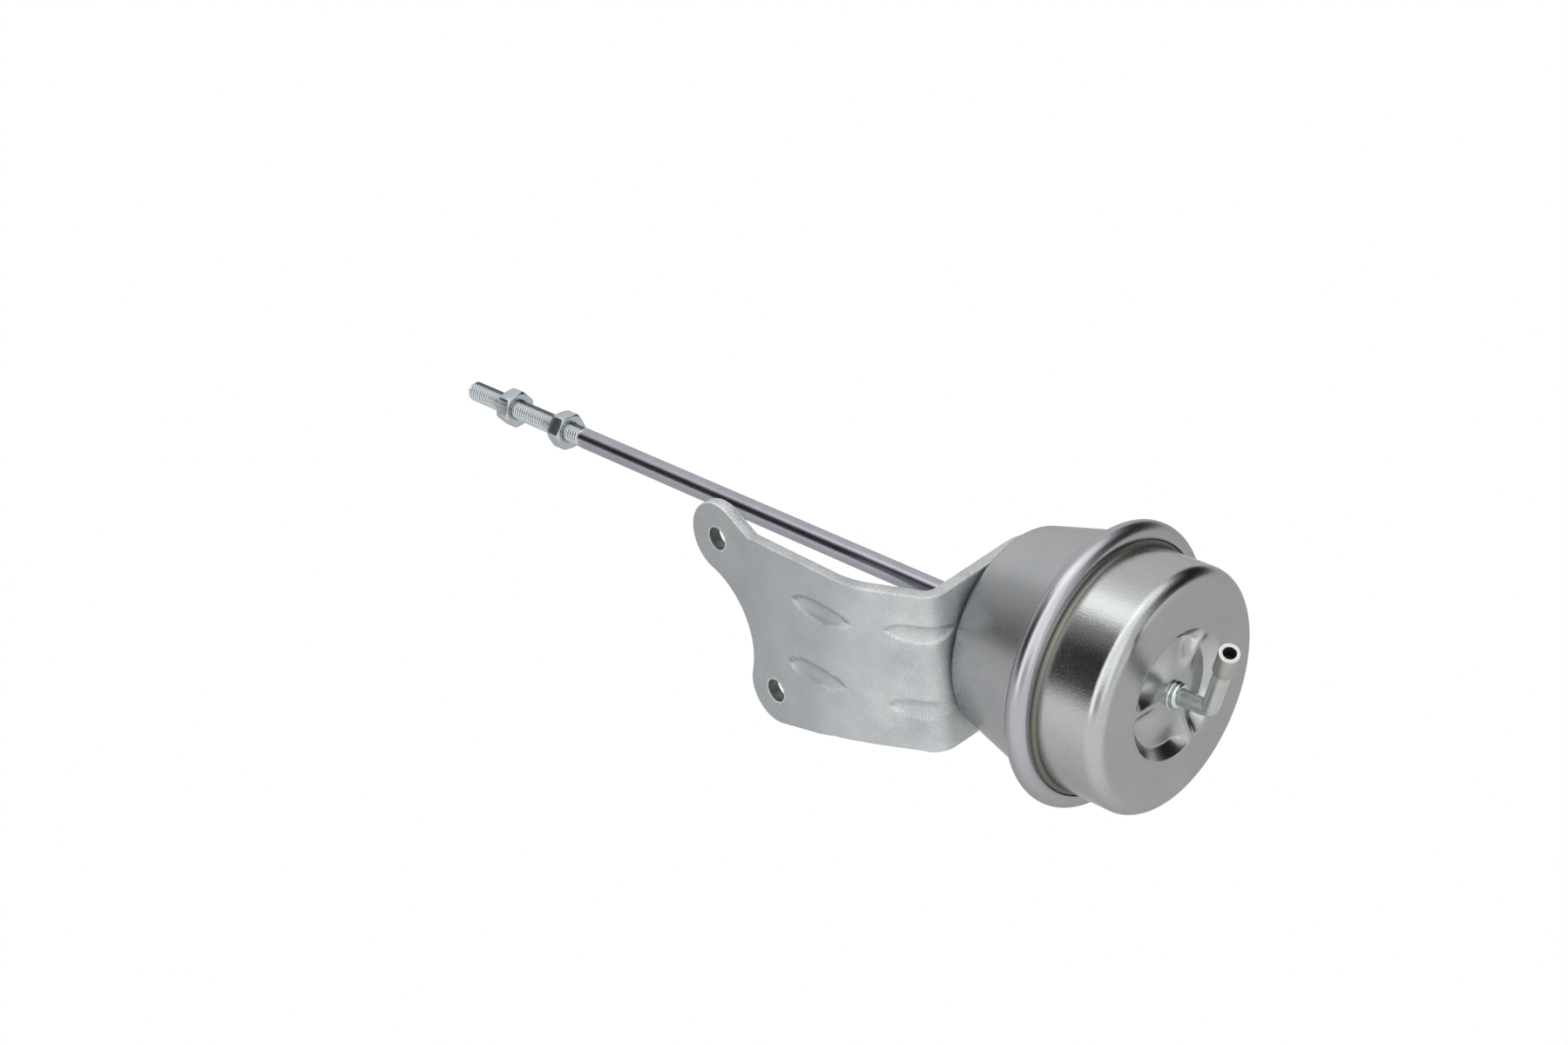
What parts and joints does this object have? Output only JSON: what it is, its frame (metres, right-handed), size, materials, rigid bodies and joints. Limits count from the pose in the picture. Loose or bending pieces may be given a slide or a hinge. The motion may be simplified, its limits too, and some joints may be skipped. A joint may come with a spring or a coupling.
{
  "type": "wastegate actuator",
  "caption": "Diaphragm wastegate actuator: a crimped can with a bent hose nipple, a folded mounting bracket with bolt ears, and a long threaded rod with nuts.",
  "frame": {"origin": "on the outer (bolting) face of the mounting bracket, on the flat that carries the two bolt holes, level with the rod axis", "axes": "+X along the rod axis from the threaded tip towards the cap, +Z along the width of the bracket towards the side that the hose nipple points to, +Y from the bracket's arm towards the rod"},
  "size_m": [0.2847, 0.0769, 0.0731],
  "materials": {
    "bracket_steel": "matt zinc plate",
    "can_zinc": "satin bright zinc",
    "cap_zinc": "bright zinc",
    "rod_zinc": "bright bluish zinc",
    "nut_zinc": "bright bluish zinc",
    "nipple_steel": "bright plated",
    "sleeve_steel": "satin",
    "black_rubber": "matt",
    "sintered_bronze": "satin",
    "spring_steel": "oiled dark"
  },
  "bodies": {
    "casing": {"lower_can": "can_zinc", "upper_can": "cap_zinc", "mounting_bracket": "bracket_steel", "nipple_collar": "nipple_steel", "nipple_tube": "nipple_steel", "nipple_sleeve": "sleeve_steel", "diaphragm": "black_rubber", "return_spring": "spring_steel", "spring_seat": "can_zinc", "guide_bush": "sintered_bronze", "bush_retainer": "spring_steel", "rod_seal": "black_rubber"},
    "rod": {"actuator_rod": "rod_zinc", "shoulder_washer": "spring_steel", "piston_cup": "can_zinc", "diaphragm_plate": "can_zinc", "adjuster_nut": "nut_zinc", "lock_nut": "nut_zinc"}
  },
  "joints": [
    {"name": "rod_slide", "type": "slide", "parent": "casing", "child": "rod", "axis": [-1, 0, 0], "range_m": [0, 0.012], "stiffness_N_per_m": 4100, "springref_m": -0.028, "deforming": ["return_spring", "diaphragm"]}
  ]
}
